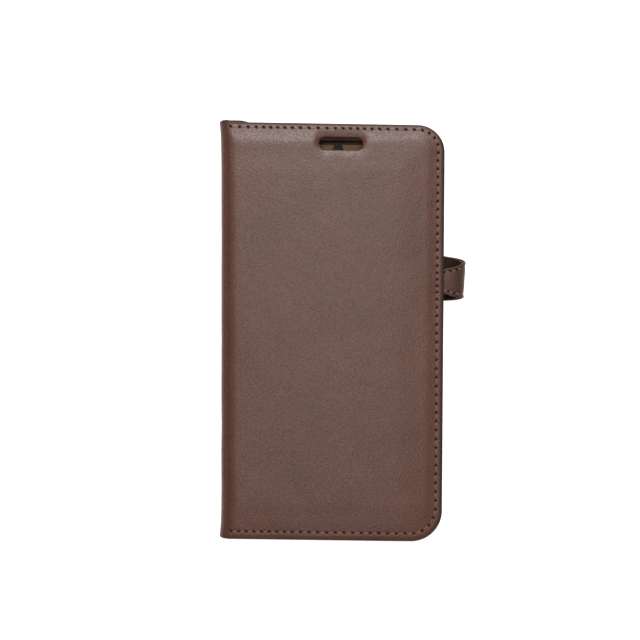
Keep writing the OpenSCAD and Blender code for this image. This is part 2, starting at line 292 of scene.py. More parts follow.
def box_outline(box, step):
    """Clockwise round a round-cornered box, from the left end of its top side."""
    r = box["r"]
    x0, x1 = box["x"] - box["w"] / 2, box["x"] + box["w"] / 2
    y0, y1 = box["y"] - box["h"] / 2, box["y"] + box["h"] / 2
    fine = min(step, r / 2)
    runs = []
    for (a, b, inward), (x, y, start) in (
            (((x0 + r, y1), (x1 - r, y1), (0, -1)), (x1 - r, y1 - r, 90)),
            (((x1, y1 - r), (x1, y0 + r), (-1, 0)), (x1 - r, y0 + r, 0)),
            (((x1 - r, y0), (x0 + r, y0), (0, 1)), (x0 + r, y0 + r, -90)),
            (((x0, y0 + r), (x0, y1 - r), (1, 0)), (x0 + r, y1 - r, 180))):
        if math.dist(a, b) > 0.01:
            runs.append(line(a, b, inward, step))
        runs.append(arc(x, y, r, start, start - 90, fine))
    return join(*runs)


def depth_in(outline, points):
    """How far each point is inside an outline, from the outline's nearest point."""
    base, inward = outline
    tree = KDTree(len(base))
    for i, (x, y) in enumerate(base):
        tree.insert((x, y, 0), i)
    tree.balance()
    near = [tree.find((x, y, 0)) for x, y in points]
    nearest = [n[1] for n in near]
    side = ((points - base[nearest]) * inward[nearest]).sum(1)
    return np.array([n[2] for n in near]) * np.where(side >= 0, 1, -1)


def within(points, outline, band, hole=None, gap=0.0):
    """The points that are further inside an outline than its band, and clear of its hole."""
    inside = depth_in(outline, points) > band
    if hole:
        inside &= hole_distance(hole, *points.T) > gap
    return points[inside]


# ---------- a closed sheet over an outline, with an optional hole ----------

def fill(loops, flat, inner):
    """Triangles between a closed loop's points, with inner points inside it and perhaps a hole's
    loop. Returns faces into the loops' points followed by the inner points."""
    points = np.vstack([flat, inner]) if len(inner) else flat
    n = len(loops[0])
    m = len(loops[1]) if len(loops) > 1 else 0
    edges = [(i, (i + 1) % n) for i in range(n)] + [(n + i, n + (i + 1) % m) for i in range(m)]
    out = delaunay_2d_cdt([Vector(p) for p in points], edges, [], 1, 1e-5)
    source = [ids[0] if ids else None for ids in out[3]]
    faces = []
    for face in out[2]:
        f = [source[i] for i in face]
        if None in f:
            continue  # it uses a point that the triangulation added
        if all(n <= i < n + m for i in f):
            continue  # it covers the hole
        faces.append(f)
    return faces


def flat_at(height):
    """A surface that has the same height everywhere."""
    return lambda u, y: np.full(np.shape(u), height)


def merged(solids):
    """Several solids' points and faces as one solid."""
    points, faces, start = [], [], 0
    for solid_points, solid_faces in solids:
        points.append(solid_points)
        faces += [tuple(i + start for i in f) for f in solid_faces]
        start += len(solid_points)
    return np.vstack(points), faces


def sheet(outline, rows, grid_top, grid_bottom, hole=None, hole_rows=(), left=None):
    """The points and faces of a closed solid: rows of points follow the outline from the top
    face over the edge to the bottom face. Each row is (inset, height), where height is a number,
    one number for each point or a function of (u, y). Both faces are filled, at the heights of the
    first and the last row. Points are (u, y, height). An outline that is open at the left is
    closed along u = left."""
    base, inward = outline
    n = len(base)
    flat_points, faces, row_ids = [], [], []

    def add(u, y, h):
        start = sum(len(p) for p in flat_points)
        h = h(u, y) if callable(h) else np.broadcast_to(h, np.shape(u))
        flat_points.append(np.stack([u, y, h], 1))
        return list(range(start, start + len(u)))

    for inset, height in rows:
        p = base + inward * np.reshape(inset, (-1, 1))
        row_ids.append(add(p[:, 0], p[:, 1], height))
    span = n if left is None else n - 1
    for a, b in zip(row_ids, row_ids[1:]):
        faces += [(a[i], a[(i + 1) % n], b[(i + 1) % n], b[i]) for i in range(span)]
    hole_ids = []
    if hole:
        ring, inside = box_outline(hole, 0.3)
        m = len(ring)
        for out, height in hole_rows:
            p = ring - inside * out
            hole_ids.append(add(p[:, 0], p[:, 1], height))
        for a, b in zip(hole_ids, hole_ids[1:]):
            faces += [(a[i], a[(i + 1) % m], b[(i + 1) % m], b[i]) for i in range(m)]
    side_ids = []
    for row, step in ((0, 2.0), (len(rows) - 1, 4.0)):
        ids = []
        if left is not None:
            high, low = flat_points[row][0, 1], flat_points[row][-1, 1]
            y = np.linspace(low, high, round((high - low) / step) + 1)[1:-1]
            ids = add(np.full(len(y), float(left)), y, rows[row][1])
        side_ids.append(ids)
    for row, inner, side in ((0, grid_top, side_ids[0]), (-1, grid_bottom, side_ids[1])):
        loops = [row_ids[row] + side] + ([hole_ids[row]] if hole else [])
        ids = [i for loop in loops for i in loop]
        flat = np.vstack(flat_points)[ids, :2]
        ids += add(inner[:, 0], inner[:, 1], rows[row][1])
        faces += [tuple(ids[i] for i in f) for f in fill(loops, flat, inner)]
    if left is not None:
        first, last = [r[0] for r in row_ids], [r[-1] for r in row_ids]
        faces.append(tuple(last + side_ids[1] + first[::-1] + side_ids[0][::-1]))
    return np.vstack(flat_points), faces


def halves(solid, at):
    """A solid cut in two at u = at, both parts closed again."""
    flat, faces = solid
    for side in (False, True):
        bm = bmesh.new()
        points = [bm.verts.new(p) for p in flat]
        for face in faces:
            bm.faces.new([points[i] for i in face])
        parts = bm.verts[:] + bm.edges[:] + bm.faces[:]
        cut = bmesh.ops.bisect_plane(bm, geom=parts, plane_co=(at, 0, 0), plane_no=(1, 0, 0),
                                     clear_inner=side, clear_outer=not side)["geom_cut"]
        rim = [e for e in cut if isinstance(e, bmesh.types.BMEdge)]
        bmesh.ops.holes_fill(bm, edges=rim)
        bm.verts.index_update()
        yield (np.array([v.co for v in bm.verts]), [tuple(v.index for v in f.verts) for f in bm.faces])
        bm.free()


def make(name, solid, wrap, crease_angle=42, shade=None):
    """An object from points in developed space: their rest place goes into the attribute 'rest',
    which the materials read, and 'shade' says how much painted shade darkens the leather there."""
    flat, faces = solid
    mesh = bpy.data.meshes.new(name)
    mesh.from_pydata((wrap(flat[:, 0], flat[:, 1], flat[:, 2]) * MM).tolist(), [], faces)
    rest = mesh.attributes.new("rest", "FLOAT_VECTOR", "POINT")
    rest.data.foreach_set("vector", (flat * MM).astype(np.float32).ravel())
    dark = mesh.attributes.new("shade", "FLOAT", "POINT")
    values = np.zeros(len(flat)) if shade is None else shade(flat)
    dark.data.foreach_set("value", values.astype(np.float32))
    bm = bmesh.new()
    bm.from_mesh(mesh)
    bmesh.ops.recalc_face_normals(bm, faces=bm.faces)
    bm.to_mesh(mesh)
    bm.free()
    mesh.polygons.foreach_set("use_smooth", [True] * len(mesh.polygons))
    mesh.set_sharp_from_angle(angle=math.radians(crease_angle))
    piece = bpy.data.objects.new(name, mesh)
    bpy.context.scene.collection.objects.link(piece)
    return piece


def grid(x0, x1, y0, y1, step_x, step_y=None):
    step_y = step_y or step_x
    nx, ny = max(1, round((x1 - x0) / step_x)), max(1, round((y1 - y0) / step_y))
    gx, gy = np.meshgrid(np.linspace(x0, x1, nx + 1), np.linspace(y0, y1, ny + 1))
    return np.stack([gx.ravel(), gy.ravel()], 1)


# ---------- places: developed (u, y, height above the outer face) to the frame ----------

def spine_weight(u):
    return 1 - smooth(FOLD_X - FOLD_RUN, FOLD_X - 0.6, u)


def fold_reach(u):
    """How far the leather over the folds and the spine reaches above the covers' top edge."""
    return 0.85 * smooth(FOLD_X + 0.6, FOLD_X - 1.6, u)


def wrap_cover(u, y, h, hung=False, flip=False):
    a = np.clip((FOLD_X - u) / FOLD_RUN, 0, 1) * math.pi / 2
    past = np.maximum(FOLD_X - FOLD_RUN - u, 0)
    flat = u >= FOLD_X
    x = np.where(flat, u, FOLD_X - (FOLD_R + h) * np.sin(a))
    z = np.where(flat, h, (FOLD_R + h) * np.cos(a) - FOLD_R - past)
    y = y + fold_reach(u) * smooth(TOP - 9, TOP, y)
    if hung:
        lean = LEAN * y * smooth(FOLD_X, RIGHT, x)
        hang = HANG_BOTTOM + (HANG_TOP - HANG_BOTTOM) * (y + TOP) / (2 * TOP)
        y = y - hang * np.maximum(x - SPINE_X, 0)
        x = x + lean
    return np.stack([x, y, -z if flip else THICK + z], 1)


def wrap_front(u, y, h):
    return wrap_cover(u, y, h, hung=True)


def wrap_back(u, y, h):
    return wrap_cover(u, y, h, flip=True)


def wrap_pockets(u, y, h):
    """Height above the front cover's lining, into the case."""
    return wrap_cover(u, y, -INNER - h, hung=True)


def wrap_plain(u, y, h):
    return np.stack([u, y, h], 1)


# ---------- seams ----------

def seam_inset(y):
    """The seam runs nearer the edge along the top, and further in along the bottom."""
    return SEAM - 0.6 * smooth(TOP - 14, TOP - 4, y) + 0.5 * smooth(TOP - 14, TOP - 4, -y)


def needle_holes(outline, insets, pitch):
    """Holes along a seam inside an outline, and the seam's heading at each. The insets and the pitch
    are one number, or one for each point of the outline."""
    base, inward = outline
    points = base + inward * np.reshape(insets, (-1, 1))
    step = np.linalg.norm(np.diff(points, axis=0), axis=1)
    pitch = np.broadcast_to(pitch, len(points))[1:]
    run = np.concatenate([[0], np.cumsum(step / pitch)])
    s = np.linspace(0, run[-1], int(run[-1]) + 1)

    def at(s):
        return np.stack([np.interp(s, run, points[:, k]) for k in (0, 1)], 1)

    heading = at(s + 0.1) - at(s - 0.1)
    return at(s), heading / np.linalg.norm(heading, axis=1)[:, None]


def seam_pitch(x, y):
    """The stitches are uneven along the top edge, and closer together where the strap comes round
    and towards the bottom left."""
    top = smooth(TOP - 8, TOP - 3, y)
    uneven = 3.15 + 0.4 * np.cos(2 * math.pi * (x + 6.5) / 33)
    side = PITCH - 0.27 * smooth(10, 30, y) - 0.9 * bump(y, 19, 7) * (x > 0)
    return side * (1 - top) + uneven * top - 0.45 * smooth(-10, -20, x) * (y < 0)


seam_outline = cover_outline(left=FOLD_X, step=0.05)
seam_x, seam_y = seam_outline[0].T
HOLES, HEADINGS = needle_holes(seam_outline, seam_inset(seam_y), seam_pitch(seam_x, seam_y))
HOLE_SLANT = math.radians(-30)
HOLE_LENGTH, HOLE_WIDTH = 0.54, 0.37  # where a hole has faded to about a third, from its middle
HOLE_REACH = 1.6  # no hole is felt further out


def hole_field(u, y, holes=HOLES, headings=HEADINGS, size=1.0):
    """1 in the middle of a needle hole, falling to 0 at its rim; the holes are slanted ovals."""
    field = np.zeros(np.shape(u))
    c, s = math.cos(HOLE_SLANT), math.sin(HOLE_SLANT)
    for (x0, y0), (hx, hy) in zip(holes, headings):
        near = (np.abs(u - x0) < HOLE_REACH) & (np.abs(y - y0) < HOLE_REACH)
        if not near.any():
            continue
        along = (u[near] - x0) * hx + (y[near] - y0) * hy
        across = (y[near] - y0) * hx - (u[near] - x0) * hy
        a = (along * c + across * s) / (HOLE_LENGTH * size)
        b = (across * c - along * s) / (HOLE_WIDTH * size)
        field[near] = np.maximum(field[near], np.exp(-(a * a + b * b) ** 1.8))
    return field


def tube(path, normals, radius, sides=12, ply=0.06, twist=1.35):
    """A twisted thread along a path: its three strands show as ridges, ply deep against the radius,
    and turn by twist radians in each diameter. Returns points and faces."""
    path, normals = np.array(path), np.array(normals)
    tangent = np.gradient(path, axis=0)
    tangent /= np.linalg.norm(tangent, axis=1)[:, None]
    side = np.cross(tangent, normals)
    side /= np.linalg.norm(side, axis=1)[:, None]
    up = np.cross(side, tangent)
    run = np.concatenate([[0], np.cumsum(np.linalg.norm(np.diff(path, axis=0), axis=1))])
    a = np.linspace(0, 2 * math.pi, sides, endpoint=False)
    rings = []
    for i in range(len(path)):
        r = radius * (1 + ply * np.cos(3 * (a - twist * run[i] / (2 * radius))))
        rings.append(path[i] + np.outer(r * np.cos(a), side[i]) + np.outer(r * np.sin(a), up[i]))
    faces = []
    for i in range(len(path) - 1):
        for j in range(sides):
            k = (j + 1) % sides
            faces.append((i * sides + j, i * sides + k, (i + 1) * sides + k, (i + 1) * sides + j))
    faces += [tuple(range(sides)), tuple(reversed(range((len(path) - 1) * sides, len(path) * sides)))]
    return np.vstack(rings), faces


def thread_run(pairs, surface, wrap, radius=0.25, lift=0.08, dive=0.6, slant=0.2, gap=0.52, sag=0.22):
    """The points and faces of a run of stitches. Each goes from near one needle hole to near the
    next, rising over the surface near the first, and dives into the leather at both ends."""
    tubes = []
    for a, b in pairs:
        a, b = np.array(a, float), np.array(b, float)
        along = (b - a) / np.linalg.norm(b - a)
        across = np.array([-along[1], along[0]])
        a, b = a + along * gap - across * slant, b - along * gap + across * slant
        t = np.linspace(0, 1, 11)
        flat = a + np.outer(t, b - a)
        rise = -dive + (lift + dive) * np.sin(math.pi * t) ** 0.45 - sag * t
        h = surface(flat[:, 0], flat[:, 1]) + rise
        path = wrap(flat[:, 0], flat[:, 1], h)
        normal = wrap(flat[:, 0], flat[:, 1], h + 1) - path
        tubes.append(tube(path, normal, radius))
    return merged(tubes)


def pairs_of(holes):
    return list(zip(holes[:-1], holes[1:]))


# ---------- materials ----------

class Nodes:
    """Short calls for building a material's nodes."""

    def __init__(self, name):
        self.material = bpy.data.materials.new(name)
        self.material.use_nodes = True
        self.tree = self.material.node_tree
        self.shader = self.tree.nodes["Principled BSDF"]

    def node(self, kind, inputs=None, **settings):
        node = self.tree.nodes.new(kind)
        for key, value in settings.items():
            setattr(node, key, value)
        for key, value in (inputs or {}).items():
            if isinstance(value, bpy.types.NodeSocket):
                self.tree.links.new(value, node.inputs[key])
            else:
                node.inputs[key].default_value = value
        return node

    def rest(self):
        return self.node("ShaderNodeAttribute", attribute_name="rest").outputs["Vector"]

    def shade(self):
        return self.node("ShaderNodeAttribute", attribute_name="shade").outputs["Fac"]

    def place(self):
        return self.node("ShaderNodeTexCoord").outputs["Object"]

    def noise(self, where, size, detail=3.0, rough=0.55):
        """Noise with features of about size millimetres."""
        return self.node("ShaderNodeTexNoise", {"Vector": where, "Scale": 1 / (size * MM),
                                                "Detail": detail, "Roughness": rough}).outputs[0]

    def cells(self, where, size, feature="SMOOTH_F1"):
        inputs = {"Vector": where, "Scale": 1 / (size * MM)}
        if feature == "SMOOTH_F1":
            inputs["Smoothness"] = 0.6
        return self.node("ShaderNodeTexVoronoi", inputs, feature=feature).outputs["Distance"]

    def scale(self, where, factors):
        return self.node("ShaderNodeVectorMath", {0: where, 1: factors}, operation="MULTIPLY").outputs[0]

    def range(self, value, low, high, to_low=0.0, to_high=1.0):
        return self.node("ShaderNodeMapRange", {"Value": value, "From Min": low, "From Max": high,
                                                "To Min": to_low, "To Max": to_high}).outputs[0]

    def maths(self, operation, a, b):
        return self.node("ShaderNodeMath", {0: a, 1: b}, operation=operation).outputs[0]

    def mix(self, factor, a, b):
        node = self.node("ShaderNodeMix", data_type="RGBA")
        for index, value in ((0, factor), (6, a), (7, b)):
            if isinstance(value, bpy.types.NodeSocket):
                self.tree.links.new(value, node.inputs[index])
            else:
                node.inputs[index].default_value = value if index == 0 else (*value, 1)
        return node.outputs[2]

    def bumped(self, height, depth, strength=1.0, normal=None):
        inputs = {"Height": height, "Distance": depth * MM, "Strength": strength}
        if normal is not None:
            inputs["Normal"] = normal
        return self.node("ShaderNodeBump", inputs).outputs[0]

    def finish(self, colour, roughness, normal, specular=0.5, **sockets):
        shader = self.shader
        self.tree.links.new(colour, shader.inputs["Base Color"])
        self.tree.links.new(roughness, shader.inputs["Roughness"])
        self.tree.links.new(normal, shader.inputs["Normal"])
        shader.inputs["Specular IOR Level"].default_value = specular
        for key, value in sockets.items():
            shader.inputs[key.replace("_", " ")].default_value = value
        return self.material


def leather(name, light, dark, rough=(0.44, 0.60), grain=0.65, grain_depth=0.05, specular=0.5,
            painted_shade_colour=(0.006, 0.003, 0.003), at_rest=True):
    """Grained leather: pebbles, fine pores, cloudy dye and a soft gloss that breaks up, with painted shade in the
    pebbles' valleys and wherever the 'shade' attribute says.
    """
    n = Nodes(name)
    where = n.rest() if at_rest else n.place()
    cloud = n.noise(where, 26, 3)
    mottle = n.noise(where, 1.6, 4, 0.65)
    pebble = n.cells(where, grain)
    fine = n.noise(where, 0.22, 2, 0.6)
    tone = n.maths("ADD", n.range(cloud, 0.3, 0.7, 0, 0.62), n.range(mottle, 0.3, 0.7, 0, 0.38))
    colour = n.mix(tone, dark, light)
    # painted shade: the colour darkens in the pebbles' valleys
    valley = n.range(pebble, 0.30, 0.62, 0, 0.30)
    colour = n.mix(valley, colour, tuple(c * 0.45 for c in dark))
    # painted shade: where the 'shade' attribute says, the colour darkens to near black
    if at_rest:
        colour = n.mix(n.shade(), colour, painted_shade_colour)
    gloss = n.range(mottle, 0.25, 0.75, *rough)
    gloss = n.maths("ADD", gloss, n.maths("MULTIPLY", valley, 0.25))
    if at_rest:
        gloss = n.maths("ADD", gloss, n.maths("MULTIPLY", n.shade(), 0.5))
    normal = n.bumped(pebble, -grain_depth)
    normal = n.bumped(fine, grain_depth * 0.30, normal=normal)
    normal = n.bumped(n.noise(where, 3.2, 2), grain_depth * 1.6, 0.6, normal=normal)
    return n.finish(colour, gloss, normal, specular)


def thread(name, light, dark):
    """Waxed polyester thread: fine fibres and a slight gloss."""
    n = Nodes(name)
    where = n.rest()
    fibres = n.noise(where, 0.10, 3, 0.7)
    colour = n.mix(n.range(fibres, 0.3, 0.7), dark, light)
    gloss = n.range(n.noise(where, 0.5, 2), 0.3, 0.7, 0.28, 0.42)
    return n.finish(colour, gloss, n.bumped(fibres, 0.03), 0.6)


def suede(name, light, dark):
    """Napped microfibre: short fibres lying different ways."""
    n = Nodes(name)
    where = n.rest()
    nap = n.noise(n.scale(where, (1.0, 0.35, 1.0)), 0.30, 4, 0.7)
    cloud = n.noise(where, 9, 3)
    tone = n.maths("ADD", n.range(nap, 0.3, 0.7, 0, 0.5), n.range(cloud, 0.3, 0.7, 0, 0.5))
    colour = n.mix(tone, dark, light)
    return n.finish(colour, n.range(nap, 0.2, 0.8, 0.85, 1.0), n.bumped(nap, 0.08), 0.2,
                    Sheen_Weight=0.25, Sheen_Roughness=0.5)


def moulded(name, light, dark):
    """Moulded flexible plastic with a fine spark-eroded texture."""
    n = Nodes(name)
    where = n.rest()
    spark = n.noise(where, 0.25, 3, 0.6)
    cloud = n.noise(where, 14, 2)
    colour = n.mix(n.range(cloud, 0.3, 0.7), dark, light)
    return n.finish(colour, n.range(spark, 0.3, 0.7, 0.42, 0.58), n.bumped(spark, 0.02), 0.5)


def fibreboard(name, light, dark):
    """Pressed grey board: long fibres and specks."""
    n = Nodes(name)
    where = n.place()
    fibres = n.noise(n.scale(where, (1.0, 0.2, 1.0)), 0.5, 4, 0.7)
    specks = n.cells(where, 1.8, "F1")
    colour = n.mix(n.range(fibres, 0.3, 0.7), dark, light)
    colour = n.mix(n.range(specks, 0.0, 0.12, 0.5, 0), colour, tuple(c * 0.4 for c in dark))
    return n.finish(colour, n.range(fibres, 0.3, 0.7, 0.8, 0.95), n.bumped(fibres, 0.05), 0.3)


def woven(name, light, dark, pitch=0.5):
    """Plain-woven thin fabric."""
    n = Nodes(name)
    where = n.place()
    bands = {"Vector": where, "Scale": 0.31 / (pitch * MM), "Distortion": 0.6}
    warp = n.node("ShaderNodeTexWave", bands, bands_direction="X").outputs["Fac"]
    weft = n.node("ShaderNodeTexWave", bands, bands_direction="Y").outputs["Fac"]
    weave = n.maths("MULTIPLY", warp, weft)
    return n.finish(n.mix(weave, dark, light), n.range(weave, 0, 1, 0.75, 0.95),
                    n.bumped(weave, 0.06), 0.3)


def plated_steel(name):
    """Nickel-plated magnet steel: faint turning marks."""
    n = Nodes(name)
    where = n.place()
    marks = n.noise(n.scale(where, (1.0, 1.0, 12.0)), 0.8, 3)
    colour = n.mix(n.range(marks, 0.3, 0.7), (0.48, 0.48, 0.49), (0.62, 0.62, 0.62))
    return n.finish(colour, n.range(marks, 0.3, 0.7, 0.22, 0.38), n.bumped(marks, 0.01), Metallic=1.0)


def gummed_film(name):
    """The tray's adhesive: a pale tacky film with small air marks."""
    n = Nodes(name)
    where = n.place()
    marks = n.cells(where, 2.4, "F1")
    colour = n.mix(n.range(marks, 0.05, 0.35), (0.62, 0.60, 0.55), (0.74, 0.73, 0.69))
    return n.finish(colour, n.range(marks, 0, 0.5, 0.25, 0.45), n.bumped(marks, 0.03))


COVER = leather("cover leather", (0.180, 0.068, 0.043), (0.125, 0.045, 0.027), rough=(0.27, 0.38))
STRAP = leather("strap leather", (0.158, 0.060, 0.037), (0.109, 0.039, 0.023), grain=0.55)
POCKET = leather("pocket leather", (0.150, 0.072, 0.050), (0.105, 0.047, 0.032), grain=0.6)
LINING = leather("lining leather", (0.060, 0.031, 0.023), (0.036, 0.019, 0.014), rough=(0.55, 0.7),
                 grain=0.5, grain_depth=0.03)
STRAP_LINING = leather("strap lining leather", (0.050, 0.023, 0.015), (0.031, 0.014, 0.010),
                       rough=(0.55, 0.7), grain=0.5, grain_depth=0.03, specular=0.25)
ROOT = leather("strap root leather", (0.190, 0.086, 0.058), (0.130, 0.055, 0.037), at_rest=False)
THREAD = thread("seam thread", (0.360, 0.220, 0.170), (0.200, 0.110, 0.080))
PAD = suede("tan microfibre", (0.95, 0.60, 0.36), (0.86, 0.53, 0.30))
MOULDING = moulded("tray plastic", (0.135, 0.064, 0.040), (0.092, 0.044, 0.028))
BOARD = fibreboard("grey board", (0.42, 0.33, 0.22), (0.30, 0.23, 0.15))
BACKING = woven("pocket backing", (0.05, 0.042, 0.038), (0.018, 0.015, 0.014))
LABEL = woven("blank label", (0.24, 0.21, 0.19), (0.15, 0.13, 0.115), pitch=0.25)
STEEL = plated_steel("plated steel")
FILM = gummed_film("adhesive film")


def dress(piece, material, body=None, replaced=(), slot=None):
    piece.data.materials.append(material)
    if body:
        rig.ride(piece, body)
    if replaced:
        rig.replaces(piece, *replaced)
    if slot:
        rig.slot(piece, slot)
    return piece


def seam_piece(name, runs, body, nodes):
    """One thread piece made of several runs of stitches."""
    piece = make(name, merged(runs), wrap_plain, crease_angle=80)
    return dress(piece, THREAD, body, nodes, "thread")


# ---------- camera ----------

CAMERA_PLACE = (-4.8, 4.05, THICK + 500)  # it looks straight down from half a metre

camera = bpy.data.objects.new("camera", bpy.data.cameras.new("camera"))
camera.location = [v * MM for v in CAMERA_PLACE]
camera.data.lens = 70.85
camera.data.sensor_width = 36
camera.data.clip_start = 0.01
bpy.context.scene.collection.objects.link(camera)
bpy.context.scene.camera = camera


# ---------- outer leather ----------

HOLE_DEPTH = 0.65
PANEL_RISE, PANEL_RUN = 0.34, 4.6  # the face rises this much, up to this far inside the seam
EDGE_FALL = 0.32  # and falls this much from the seam out to the edge
CROWN = 0.46  # the front stands this much higher away from its top and opening edges
WRINKLE_DEPTHS = (0.05, 0.018, 0.04)  # broad, fine, and along the spine
inner_face = flat_at(-EDGE_T)
ANCHOR_LOW, ANCHOR_HIGH = node_box("strap_anchor_stitching")
ANCHOR_X = (ANCHOR_LOW[0] + ANCHOR_HIGH[0]) / 2


def anchor_holes():
    """The short seam on the back that holds the strap's root."""
    low, high = ANCHOR_LOW[1] - 0.4, ANCHOR_HIGH[1] + 0.4
    y = np.linspace(high, low, round((high - low) / PITCH) + 1)
    return np.stack([np.full(len(y), ANCHOR_X), y], 1), np.tile((0.0, -1.0), (len(y), 1))


class Cover:
    """A cover's outer leather with its half of the spine."""

    def __init__(self, seed, hole, wrap, more_holes=None):
        self.seed, self.hole, self.wrap = seed, hole, wrap
        self.holes = HOLES, HEADINGS
        self.anchored = more_holes is not None
        if self.anchored:
            self.holes = [np.vstack(pair) for pair in zip(self.holes, more_holes)]
        self.puff = 0.15 if self.anchored else 1.0  # the back is pressed flatter than the front

    def plain(self, u, y):
        """Height above the nominal face, without the needle holes."""
        d = edge_distance(u, y)
        inset = seam_inset(y)
        spine = spine_weight(u)
        end = TOP - np.abs(y)
        on_cover = 1 - (1 - np.clip((u - FOLD_X + 1.7) / 4.6, 0, 1)) ** 2
        in_seam = smooth(FOLD_X - 1.0, FOLD_X + 1.0, u)
        left_of_corner = 0.15 + 0.85 * smooth(RIGHT - 6, RIGHT - 38, u)
        along_top = self.puff * smooth(TOP - 16, TOP - 6, y) * left_of_corner
        along_foot = smooth(TOP - 16, TOP - 6, -y)
        rise = PANEL_RISE + 0.32 * along_top - 0.2 * along_foot
        fall = EDGE_FALL + 0.08 * along_top
        h = -BORDER_DROP * (1 - spine)
        h = h + rise * smooth(inset + 0.3, inset + PANEL_RUN + 1.6 * along_top, d) * on_cover
        h = h - fall * np.clip((inset + 0.1 - d) / (inset - 0.3), 0, 1) * in_seam
        h = h + CROWN * self.puff * smooth(4, 20, np.minimum(TOP - y, RIGHT - u)) * on_cover
        h = h + 0.04 * bump(d, inset - 1.2, 0.6) * in_seam
        h = h - 0.07 * bump(d, inset, 0.75) * in_seam
        h = h + (0.85 * np.exp(-end / 5) - 0.04 * smooth(0, 25, end) - 0.5 * smooth(0.9, 0, end)) * spine
        broad, fine, along_spine = WRINKLE_DEPTHS
        uneven = broad * ripple(u, y, 26, self.seed) + fine * ripple(u, y, 8, self.seed + 1)
        uneven = uneven + along_spine * ripple(u * 4, y, 30, self.seed + 2) * spine
        h = h + uneven * smooth(MID, MID + 5, u)  # the two skins meet flush at the spine's middle
        if self.anchored:
            beside = smooth(1.5, 0, ANCHOR_LOW[1] - y) * smooth(1.5, 0, y - ANCHOR_HIGH[1])
            h = h - 0.14 * bump(u, ANCHOR_X, 0.75) * beside
        near = hole_distance(self.hole, u, y)
        up = np.clip((y - self.hole["y"]) / (self.hole["h"] / 2), -1, 1)
        sink = self.hole["sink"] * (0.77 + 0.28 * up)
        h = h - sink * (1 - np.clip(near / 3.4, 0, 1)) ** 2
        return h + 0.06 * ripple(u, y, 5, self.seed + 3) * (1 - smooth(1.5, 4, near))

    def top(self, u, y):
        return self.plain(u, y) - HOLE_DEPTH * hole_field(u, y, *self.holes)

    def shade(self, flat):
        """Painted shade in the needle holes, in the fold and at the edges; the edges are painted lighter along the top
        and the foot.
        """
        u, y, h = flat.T
        # painted shade in the needle holes
        holes = hole_field(u, y, *self.holes) * (h > -1.8)
        # painted light: the edges along the top and the foot get less of the painted shade
        lit = 0.47 * smooth(TOP - 8, TOP - 3, y) + 0.7 * smooth(TOP - 8, TOP - 3, -y)
        # painted shade at the edges, where the leather rounds away from the light
        edge = (0.92 - lit) * (1 - smooth(0.1, 1.7, edge_distance(u, y)))
        # painted shade in the fold, where the leather turns away from the light
        fold = 0.16 * (1 - smooth(FOLD_X - 0.4, FOLD_X + 0.9, u)) * smooth(FOLD_X - 4.5, FOLD_X - 2.5, u)
        return np.clip(holes + edge + fold, 0, 1)

    def skin(self, name):
        rows = rounded_rows(self.top, inner_face, 0.85, 0.4, FINE_BAND, [1.4])
        solid = sheet(cover_outline(), rows, cover_grid(self.hole, True), cover_grid(self.hole, False),
                      self.hole, lip_rows(self.hole, self.top, inner_face), left=MID)
        return make(name, solid, self.wrap, shade=self.shade)


def over_edge(top, across, down, step, start=0.0):
    """Rows that round from a face to its side, one in every step of degrees."""
    rows = []
    for a in np.radians(np.arange(step, 91, step)):
        drop = down * (1 - math.cos(a))
        rows.append((start + across * (1 - math.sin(a)), lambda u, y, k=drop: top(u, y) - k))
    return rows


def under_edge(bottom, radius, start=0.0):
    """Rows that round from a side to the underside."""
    rows = []
    for a in np.radians(np.arange(0, 91, 18)):
        lift = radius * (1 - math.sin(a))
        rows.append((start + radius * (1 - math.cos(a)), lambda u, y, k=lift: bottom(u, y) + k))
    return rows


def rounded_rows(top, bottom, radius_top, radius_bottom, band_top, band_bottom, start=0.0):
    """Rows from a face, over a rounded edge, to the other face."""
    rows = [(start + d, top) for d in band_top]
    rows += over_edge(top, radius_top, radius_top, 15, start) + under_edge(bottom, radius_bottom, start)
    return rows + [(start + d, bottom) for d in band_bottom]


FINE_BAND = [3.9, 3.7, 3.5, 3.3, 3.15, 3.0, 2.85, 2.7, 2.55, 2.4, 2.25, 2.1, 1.95, 1.8, 1.6, 1.35, 1.15]


def lip_rows(hole, top, bottom, under=0.5):
    """Rows from the face down into a hole, over its turned-in lip, and out along the underside."""
    rows = [(hole["lip"], top)] + over_edge(top, hole["lip"], hole["depth"], 9)
    return rows + under_edge(bottom, under) + [(under + 0.5, bottom)]


def cover_grid(hole, fine):
    """Points between a cover's edge band and its hole, closer together where it bends."""
    outline = cover_outline()
    base, inward = outline
    near = []  # rings round the edge and the hole, each further in with fewer of the outline's points
    for inset, skip in ((4.1, 1), (4.4, 2), (4.9, 3), (5.6, 4), (6.5, 6)) if fine else ():
        near.append((base + inward * inset)[skip // 2::skip])
    ring, inside = box_outline(hole, 0.3)
    for out, skip in ((0.25, 1), (0.6, 2), (1.1, 2), (1.7, 3), (2.4, 4)) if fine else ():
        near.append(within((ring - inside * (hole["lip"] + out))[::skip], outline, 4.0))
    band, step = (7.4, 1.5) if fine else (4.0, 5.0)
    clear = hole["lip"] + (3.2 if fine else 2.0)
    fold_step = 0.3 if fine else 0.5
    far = [
        within(grid(FOLD_X + 2.9, RIGHT - band, -TOP, TOP, step), outline, band, hole, clear),
        within(grid(FOLD_X - FOLD_RUN, FOLD_X + 2.6, -TOP, TOP, fold_step, 1.8), outline, band),
        within(grid(MID + 0.9, FOLD_X - FOLD_RUN - 0.6, -TOP, TOP, 1.0, 1.8), outline, band),
    ]
    if near:
        close = np.vstack(near)
        clear_of_hole = hole_distance(hole, *close.T) > hole["lip"] + 0.2
        far.append(close[clear_of_hole & (close[:, 0] > MID + 0.2)])
    return np.vstack(far)


FOLD_START, FOLD_END = FOLD_X + 0.2, SPINE_X - 0.2  # the stretch in which a skin turns at a fold


